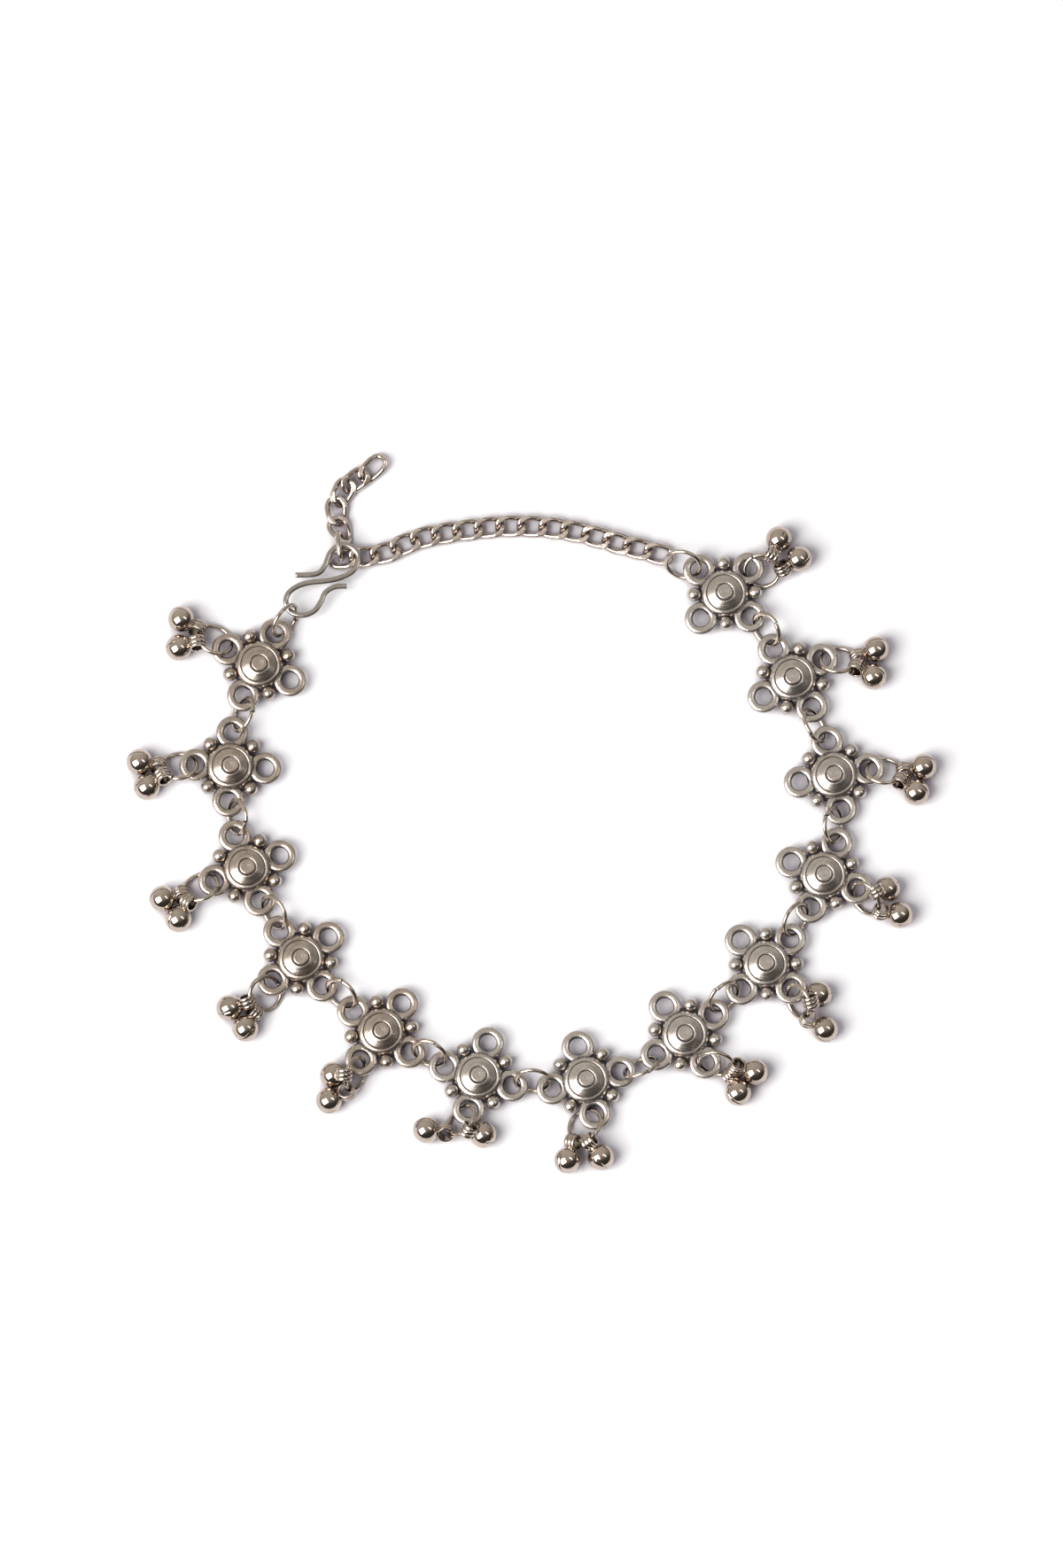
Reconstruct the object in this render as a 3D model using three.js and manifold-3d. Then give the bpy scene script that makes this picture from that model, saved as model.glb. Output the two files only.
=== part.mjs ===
// Payal anklet: thirteen cast flower motifs on jump rings, a pair of small bells on each,
// closed by an S hook on a curb chain whose free end is an extension tail.
// Millimetres, +Z up, lying on a flat surface at z = 0 with the loop spread open.
import * as THREE from 'three';
import { mergeVertices } from 'three/addons/utils/BufferGeometryUtils.js';
import Module from 'manifold-3d';

const wasm = await Module();
wasm.setup();

// Clearance kept between a loose piece and the surface
const GAP = 0.02;

// Cast flower motif
const DOME_RADIUS = 3.45;
const DOME_WALL = 1.1;
const STEP_RADIUS = 2.6;
const STEP_HEIGHT = 2.5;
const BUTTON_RADIUS = 1.28;
const BUTTON_HEIGHT = 3.3;
const DOME_SIDES = 10;
const EYE_REACH = 5.05;
const EYE_HOLE = 1.24;
const EYE_BAND = 1.0;
const EYE_THICKNESS = 0.6;
const EYE_HEIGHT = 1.65;
const EYE_SWEEP = 128;
const EYE_STEPS = 5;
const EYE_SIDES = 10;
const EYE_COUNT = 4;
const PEARL_RADIUS = 0.95;
const PEARL_BITE = 0.36;
const PEARL_SIDES = 6;
const PEARL_BANDS = 3;

// Round wire jump rings
const RING_RADIUS = 2.55;
const RING_WIRE = 0.29;
const RING_STEPS = 10;
const WIRE_SIDES = 5;
const LINK_SHIFT = 0.8;

// Ghungroo bells
const BALL_RADIUS = 1.9;
const BALL_SIDES = 10;
const BALL_BANDS = 4;
const BAIL_RADIUS = 1.4;
const BAIL_HOLE = 0.75;
const BAIL_WIDTH = 1.7;
const BAIL_SIDES = 6;
const BAIL_PLAY = 0.5;
const BAIL_TO_BALL = 2.87;
const LIFT_PASSES = 4;

// Curb chain: its end links are real, and the run between them is one flat tube of the chain's size
const CHAIN_WIRE = 0.35;
const LINK_HALF_LENGTH = 1.95;
const LINK_HALF_WIDTH = 1.3;
const END_LINK_HALF_LENGTH = 2.1;
const END_LINK_HALF_WIDTH = 1.1;
const HOOKED_LINK_LIFT = 0.15;
const TUBE_HALF_WIDTH = 1.45;
const TUBE_HALF_HEIGHT = 0.8;
const TUBE_SIDES = 8;
const TUBE_STEP = 4.6;

// S hook of flattened wire
const HOOK_WIDTH = 0.74;
const HOOK_THICKNESS = 0.56;
const HOOK_SPAN = 10.8;
const HOOK_RISE = 10.5;
const HOOK_HEIGHT = 2.25;
const HOOK_POINTS = 20;

// Route of the strand: for each motif its own turn (the heading of its inner eye), then the heading
// of the ring to the next motif, the play between that ring and their two eyes, and its tilt.
const STRAND = [
  { turn: -27, heading: -106, play: 0.75, tilt: 58 },
  { turn: -3, heading: -80, play: 0.35, tilt: 60 },
  { turn: 21, heading: -58, play: 0.5, tilt: 60 },
  { turn: 38, heading: -40, play: 0.95, tilt: 50 },
  { turn: 54, heading: -23, play: 0.6, tilt: 58 },
  { turn: 74, heading: -4, play: 0.95, tilt: 49 },
  { turn: 104, heading: 25.5, play: 0.95, tilt: -48 },
  { turn: 125.5, heading: 42.5, play: 0.65, tilt: 58 },
  { turn: 136, heading: 57.5, play: 0.7, tilt: 58 },
  { turn: 158, heading: 83.5, play: 0.15, tilt: 60 },
  { turn: 191, heading: 113.5, play: 0.7, tilt: 58 },
  { turn: 213, heading: 125.5, play: 1.0, tilt: -46 },
  { turn: 227, heading: 0, play: 0, tilt: 0 },
];

// How each pair of bells lies: the ring's swing off the motif's outer eye, how far short of its full
// reach it stops and its tilt, then where each bell sits round it and which way its arm points.
const DROPS = [
  { swing: -9, slip: 0.15, tilt: 34, seatA: 5, aimA: -5, seatB: 55, aimB: 38 },
  { swing: 8, slip: 0.1, tilt: 36, seatA: -7, aimA: -7, seatB: 35, aimB: 35 },
  { swing: 6, slip: 0.25, tilt: 36, seatA: -8, aimA: -7, seatB: 28, aimB: 38 },
  { swing: 22, slip: 0.1, tilt: -34, seatA: -38, aimA: -20, seatB: -1, aimB: 24 },
  { swing: 16, slip: 0.05, tilt: -62, seatA: -69, aimA: -68, seatB: 4, aimB: -30 },
  { swing: -16, slip: 0.4, tilt: 51, seatA: -23, aimA: -80, seatB: 67, aimB: 97 },
  { swing: -53, slip: 0.3, tilt: 34, seatA: 2, aimA: -32, seatB: 52, aimB: 25 },
  { swing: 43, slip: 0.9, tilt: 62, seatA: 4, aimA: 41, seatB: -33, aimB: -14 },
  { swing: -19, slip: 0.15, tilt: 60, seatA: 62, aimA: 92, seatB: -7, aimB: 13 },
  { swing: -28, slip: 0.35, tilt: 57, seatA: 80, aimA: 49, seatB: 7, aimB: 13 },
  { swing: -19, slip: 0.2, tilt: -37, seatA: 9, aimA: 0, seatB: -30, aimB: -45 },
  { swing: -35, slip: 0.15, tilt: -37, seatA: 9, aimA: -9, seatB: -27, aimB: -59 },
  { swing: -56, slip: 0.45, tilt: 34, seatA: 67, aimA: 21, seatB: 12, aimB: -16 },
];

// The rings at the strand's two ends, to the hook and to the chain: the way each lies from its
// motif's eye, how far short of its full reach it stops, and how it leans
const HOOK_RING = { toward: 51.6, slip: 0.06, heading: 53.5, tilt: 68.5 };
const CHAIN_RING = { toward: 162.6, slip: 0.02, heading: -14.4, tilt: 54.5 };

// The chain's run: along and to the left, as shares of the way from the hook to the chain ring
const RUN = [[0, 0], [0.101, 0.018], [0.224, 0.07], [0.414, 0.104], [0.548, 0.111], [0.676, 0.098],
  [0.802, 0.066], [0.89, 0.044]];
const LAST_LINK = { share: [0.927, 0.035], heading: -15, tilt: 32 };

// The tail beyond the hooked link, in half lengths of a link
const HOOKED_LINK = { heading: 90, tilt: 80 };
const TAIL = [[-0.01, 1.41], [-0.27, 2.82], [0.25, 4.21], [1.63, 5.23]];
const END_LINK = { step: [2.4, 6.03], heading: 48, tilt: 22 };

// Shape of the S hook, as shares of its span and rise, and where its upper loop holds the chain.
// Its corner is measured from the middle of its ring.
const HOOK_SEAT = { x: 0.05, y: 0.87 };
const HOOKED_SHARE = [0.743, 0.99];
const RUN_SHARE = [0.843, 0.819];
const HOOK_SHARES = [[0.13, 0.57], [0.42, 0.59], [0.53, 0.7], [0.6, 0.88], [0.71, 0.985], [0.86, 0.99],
  [0.98, 0.88], [0.97, 0.72], [0.87, 0.59], [0.63, 0.5], [0.27, 0.45], [0.07, 0.35], [0.0, 0.2],
  [0.07, 0.05], [0.24, 0.0], [0.39, 0.06], [0.48, 0.19], [0.54, 0.32], [0.67, 0.4], [0.83, 0.41]];

const UP = new THREE.Vector3(0, 0, 1);

function radians(degrees) {
  return THREE.MathUtils.degToRad(degrees);
}

// A flat direction at a heading in degrees
function heading(degrees) {
  return new THREE.Vector3(Math.cos(radians(degrees)), Math.sin(radians(degrees)), 0);
}

// A closed mesh as a solid that can be joined to others
function toSolid(geometry) {
  const bare = geometry.index ? geometry.toNonIndexed() : geometry.clone();
  bare.deleteAttribute('normal');
  bare.deleteAttribute('uv');
  const merged = mergeVertices(bare, 1e-4);
  const mesh = new wasm.Mesh({
    numProp: 3,
    vertProperties: new Float32Array(merged.attributes.position.array),
    triVerts: new Uint32Array(merged.index.array),
  });
  return new wasm.Manifold(mesh);
}

// The joined solid back as a geometry
function toGeometry(solid) {
  const mesh = solid.getMesh();
  const geometry = new THREE.BufferGeometry();
  geometry.setAttribute('position', new THREE.BufferAttribute(new Float32Array(mesh.vertProperties), 3));
  geometry.setIndex(new THREE.BufferAttribute(new Uint32Array(mesh.triVerts), 1));
  geometry.computeVertexNormals();
  return geometry;
}

function join(geometries) {
  const solids = geometries.map(toSolid);
  return toGeometry(solids.reduce((sum, next) => sum.add(next)));
}

// A section swept along points: closed into a loop, or open with flat ends. The section is an
// oval of halfWide across the sweep and halfTall along the given normal.
function sweep(points, normal, halfWide, halfTall, sides, closed) {
  const count = points.length;
  const vertices = [];
  for (let i = 0; i < count; i++) {
    const before = closed ? points[(i + count - 1) % count] : points[Math.max(i - 1, 0)];
    const after = closed ? points[(i + 1) % count] : points[Math.min(i + 1, count - 1)];
    const along = after.clone().sub(before).normalize();
    const across = along.clone().cross(normal).normalize();
    const tall = across.clone().cross(along).normalize();
    for (let j = 0; j < sides; j++) {
      const angle = (2 * Math.PI * (j + 0.5)) / sides;
      const corner = points[i].clone();
      corner.addScaledVector(across, halfWide * Math.cos(angle));
      corner.addScaledVector(tall, halfTall * Math.sin(angle));
      vertices.push(corner.x, corner.y, corner.z);
    }
  }
  const faces = [];
  const bands = closed ? count : count - 1;
  for (let i = 0; i < bands; i++) {
    for (let j = 0; j < sides; j++) {
      const a = i * sides + j;
      const b = i * sides + ((j + 1) % sides);
      const c = ((i + 1) % count) * sides + j;
      const d = ((i + 1) % count) * sides + ((j + 1) % sides);
      faces.push(a, c, b, b, c, d);
    }
  }
  if (!closed) {
    const last = (count - 1) * sides;
    for (let j = 1; j < sides - 1; j++) {
      faces.push(0, j, j + 1);
      faces.push(last, last + j + 1, last + j);
    }
  }
  const geometry = new THREE.BufferGeometry();
  geometry.setAttribute('position', new THREE.Float32BufferAttribute(vertices, 3));
  geometry.setIndex(faces);
  geometry.computeVertexNormals();
  return geometry;
}

// The plane of a ring that leans about a flat heading: its long axis, its side axis and its normal
function leaning(degrees, tilt) {
  const long = heading(degrees);
  const side = heading(degrees + 90).multiplyScalar(Math.cos(radians(tilt)));
  side.addScaledVector(UP, Math.sin(radians(tilt)));
  return { long, side, normal: long.clone().cross(side) };
}

// A ring placed by its middle, resting on the surface
function placedRing({ x, y, heading: degrees, tilt }) {
  const centre = new THREE.Vector3(x, y, restingHeight(RING_RADIUS, RING_WIRE, tilt));
  return { centre, plane: leaning(degrees, tilt) };
}

// Height of a ring's middle when its lowest wire lies on the surface
function restingHeight(radius, wire, tilt) {
  return radius * Math.sin(radians(Math.abs(tilt))) + wire + GAP;
}

// A ring that hangs from the eye at an end of the strand
function endRing(eye, { toward, slip, heading: degrees, tilt }) {
  const centre = eye.clone().addScaledVector(heading(toward), RING_RADIUS - slip);
  return placedRing({ x: centre.x, y: centre.y, heading: degrees, tilt });
}

function ringPoint(ring, degrees) {
  const point = ring.centre.clone();
  point.addScaledVector(ring.plane.long, RING_RADIUS * Math.cos(radians(degrees)));
  point.addScaledVector(ring.plane.side, RING_RADIUS * Math.sin(radians(degrees)));
  return point;
}

function ringGeometry(ring) {
  const points = [];
  for (let i = 0; i < RING_STEPS; i++) {
    points.push(ringPoint(ring, (360 * i) / RING_STEPS));
  }
  return sweep(points, ring.plane.normal, RING_WIRE, RING_WIRE, WIRE_SIDES, true);
}

// The ring that joins two eyes, leaning to one side of the line between their holes
function linkRing(from, to, tilt) {
  const line = to.clone().sub(from);
  const degrees = THREE.MathUtils.radToDeg(Math.atan2(line.y, line.x));
  const centre = from.clone().lerp(to, 0.5);
  centre.addScaledVector(heading(degrees + 90), LINK_SHIFT * Math.sign(tilt));
  centre.z = restingHeight(RING_RADIUS, RING_WIRE, tilt);
  return { centre, plane: leaning(degrees, tilt) };
}

// The four eyes and the web between them, as one flat pierced plate
function eyePlate() {
  const outer = EYE_HOLE + EYE_BAND;
  const shape = new THREE.Shape();
  for (let k = 0; k < EYE_COUNT; k++) {
    const middle = heading((360 * k) / EYE_COUNT).multiplyScalar(EYE_REACH);
    for (let i = 0; i <= EYE_STEPS; i++) {
      const angle = (360 * k) / EYE_COUNT + EYE_SWEEP * ((2 * i) / EYE_STEPS - 1);
      const point = middle.clone().addScaledVector(heading(angle), outer);
      if (k === 0 && i === 0) {
        shape.moveTo(point.x, point.y);
      } else {
        shape.lineTo(point.x, point.y);
      }
    }
    const hole = new THREE.Path();
    for (let i = 0; i < EYE_SIDES; i++) {
      const point = middle.clone().addScaledVector(heading((360 * i) / EYE_SIDES), EYE_HOLE);
      if (i === 0) {
        hole.moveTo(point.x, point.y);
      } else {
        hole.lineTo(point.x, point.y);
      }
    }
    hole.closePath();
    shape.holes.push(hole);
  }
  shape.closePath();
  const plate = new THREE.ExtrudeGeometry(shape, { depth: EYE_THICKNESS, bevelEnabled: false });
  plate.translate(0, 0, EYE_HEIGHT - EYE_THICKNESS / 2);
  return plate;
}

// The stepped dome with its raised button, standing on a flat round foot
function dome() {
  const profile = [
    [0, 0], [DOME_RADIUS, 0], [DOME_RADIUS, DOME_WALL], [STEP_RADIUS, STEP_HEIGHT],
    [BUTTON_RADIUS, BUTTON_HEIGHT], [0, BUTTON_HEIGHT],
  ];
  const lathe = new THREE.LatheGeometry(profile.map(([r, z]) => new THREE.Vector2(r, z)), DOME_SIDES);
  lathe.rotateX(Math.PI / 2);
  return lathe;
}

// How far out the pearls stand: the rim of each sinks a little into the web between two eyes
function pearlReach() {
  const corner = heading(EYE_SWEEP).multiplyScalar(EYE_HOLE + EYE_BAND);
  corner.x += EYE_REACH;
  const webEdge = corner.dot(heading(180 / EYE_COUNT));
  return webEdge + PEARL_RADIUS - PEARL_BITE;
}

function motifGeometry() {
  const pieces = [dome(), eyePlate()];
  for (let k = 0; k < EYE_COUNT; k++) {
    const pearl = new THREE.SphereGeometry(PEARL_RADIUS, PEARL_SIDES, PEARL_BANDS);
    pearl.rotateX(Math.PI / 2);
    const place = heading((360 * (k + 0.5)) / EYE_COUNT).multiplyScalar(pearlReach());
    pearl.translate(place.x, place.y, EYE_HEIGHT);
    pieces.push(pearl);
  }
  return join(pieces);
}

// One bell on its ring: the arm runs from the wire to a ball that rests on the surface
function bellPlace(ring, seat, aim) {
  const wirePoint = ringPoint(ring, seat);
  const tangent = ring.plane.long.clone().multiplyScalar(-Math.sin(radians(seat)));
  tangent.addScaledVector(ring.plane.side, Math.cos(radians(seat)));
  const arm = BAIL_PLAY + BAIL_TO_BALL;
  const drop = BALL_RADIUS + GAP - wirePoint.z;
  const ball = wirePoint.clone().addScaledVector(heading(aim), Math.sqrt(arm * arm - drop * drop));
  ball.z = BALL_RADIUS + GAP;
  const pointing = ball.clone().sub(wirePoint).normalize();
  const axle = tangent.clone().addScaledVector(pointing, -tangent.dot(pointing)).normalize();
  const bail = wirePoint.clone().addScaledVector(pointing, BAIL_PLAY);
  return { ball, bail, pointing, axle };
}

// The bail is a short tube round the wire, its hole along the axle
function bailGeometry(place) {
  const profile = [
    [BAIL_HOLE, -BAIL_WIDTH / 2], [BAIL_RADIUS, -BAIL_WIDTH / 2], [BAIL_RADIUS, BAIL_WIDTH / 2],
    [BAIL_HOLE, BAIL_WIDTH / 2], [BAIL_HOLE, -BAIL_WIDTH / 2],
  ];
  const tube = new THREE.LatheGeometry(profile.map(([r, z]) => new THREE.Vector2(r, z)), BAIL_SIDES);
  const third = place.pointing.clone().cross(place.axle);
  tube.applyMatrix4(new THREE.Matrix4().makeBasis(place.pointing, place.axle, third));
  tube.translate(place.bail.x, place.bail.y, place.bail.z);
  return tube;
}

function ballGeometry(place) {
  const ball = new THREE.SphereGeometry(BALL_RADIUS, BALL_SIDES, BALL_BANDS);
  const turn = new THREE.Quaternion().setFromUnitVectors(new THREE.Vector3(0, 1, 0), place.pointing);
  ball.applyQuaternion(turn);
  ball.translate(place.ball.x, place.ball.y, place.ball.z);
  return ball;
}

// How far above the surface the lowest point of a bail is
function bailClearance({ bail, axle }) {
  const upright = Math.sqrt(1 - axle.z * axle.z);
  return bail.z - BAIL_RADIUS * upright - (BAIL_WIDTH / 2) * Math.abs(axle.z);
}

// A jump ring through a motif's outer eye with its two bells, joined where they touch. The ring is
// lifted until both bails clear the surface.
function dropGeometry(eye, outward, drop) {
  const degrees = outward + drop.swing;
  const centre = eye.clone().addScaledVector(heading(degrees), RING_RADIUS - drop.slip);
  const ring = placedRing({ x: centre.x, y: centre.y, heading: degrees, tilt: drop.tilt });
  const seats = [[drop.seatA, drop.aimA], [drop.seatB, drop.aimB]];
  const placeBells = () => seats.map(([seat, aim]) => bellPlace(ring, seat, outward + aim));
  for (let pass = 0; pass < LIFT_PASSES; pass++) {
    const lowest = Math.min(...placeBells().map(bailClearance));
    ring.centre.z += Math.max(0, GAP - lowest);
  }
  const pieces = [ringGeometry(ring)];
  for (const place of placeBells()) {
    pieces.push(bailGeometry(place));
    pieces.push(ballGeometry(place));
  }
  return join(pieces);
}

// One oval chain link resting on the surface, or lifted off it
function chainLink(place, { heading: degrees, tilt }, halfLength, halfWidth, lift) {
  const plane = leaning(degrees, tilt);
  const centre = new THREE.Vector3(place.x, place.y, restingHeight(halfWidth, CHAIN_WIRE, tilt) + lift);
  const points = [];
  for (let i = 0; i < RING_STEPS; i++) {
    const angle = (2 * Math.PI * i) / RING_STEPS;
    const point = centre.clone();
    point.addScaledVector(plane.long, halfLength * Math.cos(angle));
    point.addScaledVector(plane.side, halfWidth * Math.sin(angle));
    points.push(point);
  }
  return sweep(points, plane.normal, CHAIN_WIRE, CHAIN_WIRE, WIRE_SIDES, true);
}

// The flat tube that stands for a run of chain, lying on the surface along a route
function chainTube(route) {
  const guide = route.map(({ x, y }) => new THREE.Vector3(x, y, TUBE_HALF_HEIGHT + GAP));
  const curve = new THREE.CatmullRomCurve3(guide);
  const points = curve.getSpacedPoints(Math.round(curve.getLength() / TUBE_STEP));
  return sweep(points, UP, TUBE_HALF_WIDTH, TUBE_HALF_HEIGHT, TUBE_SIDES, false);
}

// A place given as shares of the hook's span and rise
function hookPoint(hookRing, [u, v]) {
  return new THREE.Vector3(
    hookRing.centre.x + HOOK_SEAT.x + u * HOOK_SPAN,
    hookRing.centre.y + HOOK_SEAT.y + v * HOOK_RISE,
    HOOK_HEIGHT,
  );
}

// The S hook's wire, lying level on the ring at one end and in the hooked link at the other
function hookGeometry(hookRing) {
  const guide = HOOK_SHARES.map((share) => hookPoint(hookRing, share));
  const points = new THREE.CatmullRomCurve3(guide).getSpacedPoints(HOOK_POINTS - 1);
  return sweep(points, UP, HOOK_WIDTH / 2, HOOK_THICKNESS / 2, WIRE_SIDES, false);
}

// A place on the chain's run from its start in the hook to the chain ring
function runPoint(start, end, [along, aside]) {
  const way = new THREE.Vector3(end.x - start.x, end.y - start.y, 0);
  const left = new THREE.Vector3(-way.y, way.x, 0);
  return start.clone().addScaledVector(way, along).addScaledVector(left, aside);
}

// A place on the tail, in half lengths of a link from the hooked link
function tailPoint(start, [x, y]) {
  return new THREE.Vector3(start.x + x * LINK_HALF_LENGTH, start.y + y * LINK_HALF_LENGTH, 0);
}

function steel(color, roughness) {
  return new THREE.MeshStandardMaterial({ color, roughness, metalness: 1 });
}

const castMetal = steel(0xa49a88, 0.35);
const ringMetal = steel(0xb4ada0, 0.28);
const bellMetal = steel(0xa59a8a, 0.18);
const chainMetal = steel(0xa69c8c, 0.3);
const hookMetal = steel(0xb0ada4, 0.42);

const anklet = new THREE.Group();

function add(name, geometry, material) {
  const mesh = new THREE.Mesh(geometry, material.clone());
  mesh.name = name;
  anklet.add(mesh);
  return mesh;
}

function numbered(name, index) {
  return `${name}_${String(index + 1).padStart(2, '0')}`;
}

// Walks the strand: every motif is placed by its ring to the one before
function motifPlaces() {
  const places = [];
  let centre = new THREE.Vector3();
  STRAND.forEach((row, index) => {
    if (index > 0) {
      const before = STRAND[index - 1];
      centre = centre.clone().addScaledVector(heading(before.turn - 90), EYE_REACH);
      centre.addScaledVector(heading(before.heading), 2 * RING_RADIUS + before.play);
      centre.addScaledVector(heading(row.turn + 90), -EYE_REACH);
    }
    places.push({ centre, turn: row.turn });
  });
  return places;
}

function eyeHole(place, offset) {
  return place.centre.clone().addScaledVector(heading(place.turn + offset), EYE_REACH);
}

const places = motifPlaces();
const motif = motifGeometry();

places.forEach((place, index) => {
  const mesh = add(numbered('motif', index), motif.clone(), castMetal);
  mesh.position.copy(place.centre);
  mesh.rotation.z = radians(place.turn);
});

places.slice(1).forEach((place, index) => {
  const before = places[index];
  const ring = linkRing(eyeHole(before, -90), eyeHole(place, 90), STRAND[index].tilt);
  add(numbered('link_ring', index), ringGeometry(ring), ringMetal);
});

places.forEach((place, index) => {
  add(numbered('drop', index), dropGeometry(eyeHole(place, 180), place.turn + 180, DROPS[index]), bellMetal);
});

const hookRing = endRing(eyeHole(places[0], 90), HOOK_RING);
const chainRing = endRing(eyeHole(places[places.length - 1], -90), CHAIN_RING);
const hooked = hookPoint(hookRing, HOOKED_SHARE);
const hookedLink = chainLink(hooked, HOOKED_LINK, LINK_HALF_LENGTH, LINK_HALF_WIDTH, HOOKED_LINK_LIFT);
const runStart = hookPoint(hookRing, RUN_SHARE);
const run = RUN.map((share) => runPoint(runStart, chainRing.centre, share));
const lastPlace = runPoint(runStart, chainRing.centre, LAST_LINK.share);
const lastLink = chainLink(lastPlace, LAST_LINK, LINK_HALF_LENGTH, LINK_HALF_WIDTH, 0);
const tail = TAIL.map((step) => tailPoint(hooked, step));
const endPlace = tailPoint(hooked, END_LINK.step);
const endLink = chainLink(endPlace, END_LINK, END_LINK_HALF_LENGTH, END_LINK_HALF_WIDTH, 0);

add('hook_ring', ringGeometry(hookRing), ringMetal);
add('chain_ring', ringGeometry(chainRing), ringMetal);
add('hook', hookGeometry(hookRing), hookMetal);
add('hooked_link', hookedLink, chainMetal);
add('chain_main', join([chainTube(run), lastLink]), chainMetal);
add('chain_tail', join([chainTube(tail), endLink]), chainMetal);

// The loop's middle goes over the origin
const box = new THREE.Box3().setFromObject(anklet);
anklet.position.set(-(box.min.x + box.max.x) / 2, -(box.min.y + box.max.y) / 2, 0);

export default anklet;
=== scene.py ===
"""Payal anklet on a white table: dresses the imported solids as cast, drawn and polished metal."""
import math

import bpy
import numpy as np
from mathutils import Euler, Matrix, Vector


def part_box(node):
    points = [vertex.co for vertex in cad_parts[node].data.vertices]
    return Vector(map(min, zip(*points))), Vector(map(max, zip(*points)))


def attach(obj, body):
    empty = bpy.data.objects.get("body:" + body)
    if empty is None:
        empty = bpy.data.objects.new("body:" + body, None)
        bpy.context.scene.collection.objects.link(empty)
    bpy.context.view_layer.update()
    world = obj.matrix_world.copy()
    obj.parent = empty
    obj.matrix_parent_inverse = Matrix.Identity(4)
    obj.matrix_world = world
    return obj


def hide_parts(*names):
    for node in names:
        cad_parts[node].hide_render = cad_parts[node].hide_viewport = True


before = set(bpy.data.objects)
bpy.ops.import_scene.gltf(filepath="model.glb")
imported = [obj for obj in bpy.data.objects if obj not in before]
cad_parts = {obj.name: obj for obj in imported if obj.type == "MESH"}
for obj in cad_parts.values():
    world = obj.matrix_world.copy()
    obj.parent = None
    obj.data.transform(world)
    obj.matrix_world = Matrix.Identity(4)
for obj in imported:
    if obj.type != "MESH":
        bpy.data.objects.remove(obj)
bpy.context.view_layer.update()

MM = 0.001
UP = np.array([0.0, 0.0, 1.0])

# Sizes in millimetres: those of the solids, and the finer ones of their dress
DOME_RADIUS = 3.45
EYE_REACH = 5.05
EYE_DRESS_REACH = 5.11
EYE_MIDDLE = 1.82
EYE_HALF_BAND = 0.58
EYE_HALF_HEIGHT = 0.4
EYE_HEIGHT = 1.65
PEARL_RADIUS = 1.02
PEARL_REACH = 4.5
PEARL_HEIGHT = 1.65
RING_RADIUS = 2.55
RING_WIRE = 0.29
RING_DRESS = 0.32
LINK_RADIUS = 2.5
RING_SPRING = 0.16
LINK_SHIFT = 0.8
BALL_RADIUS = 1.9
BALL_DRESS = 1.93
BAIL_RADIUS = 1.4
BAIL_WIDTH = 1.7
BAIL_PLAY = 0.5
BAIL_TO_BALL = 2.87
GAP = 0.02
CHAIN_WIRE = 0.35
CHAIN_DRESS = 0.4
LINK_LENGTH = 1.95
LINK_WIDTH = 1.24
LINK_TWIST = -0.42
LINK_SQUARE = 2.5
LINK_GROUND = 0.66
CHAIN_TILT = 12
HOOK_WIDTH = 0.84
HOOK_THICKNESS = 0.6
HOOK_HEIGHT = 2.25

# The strand as it lies: each motif's own turn, then the heading, play, tilt and cut of its next ring
STRAND = [
    {"turn": -27, "heading": -106, "play": 0.75, "tilt": 58, "cut": 100},
    {"turn": -3, "heading": -80, "play": 0.35, "tilt": 60, "cut": 60},
    {"turn": 21, "heading": -58, "play": 0.5, "tilt": 60, "cut": 250},
    {"turn": 38, "heading": -40, "play": 0.95, "tilt": 58, "cut": 110},
    {"turn": 54, "heading": -23, "play": 0.6, "tilt": 58, "cut": 80},
    {"turn": 74, "heading": -4, "play": 0.95, "tilt": 62, "cut": 20},
    {"turn": 104, "heading": 25.5, "play": 0.95, "tilt": -58, "cut": -79},
    {"turn": 125.5, "heading": 42.5, "play": 0.65, "tilt": 58, "cut": 95},
    {"turn": 136, "heading": 57.5, "play": 0.7, "tilt": 58, "cut": 250},
    {"turn": 158, "heading": 83.5, "play": 0.15, "tilt": 60, "cut": 70},
    {"turn": 191, "heading": 113.5, "play": 0.7, "tilt": 58, "cut": 120},
    {"turn": 213, "heading": 125.5, "play": 1.0, "tilt": -56, "cut": -100},
    {"turn": 227, "heading": 0, "play": 0, "tilt": 0, "cut": 0},
]

# The first motifs are browner than the rest
BROWN_MOTIFS = 5

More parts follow.
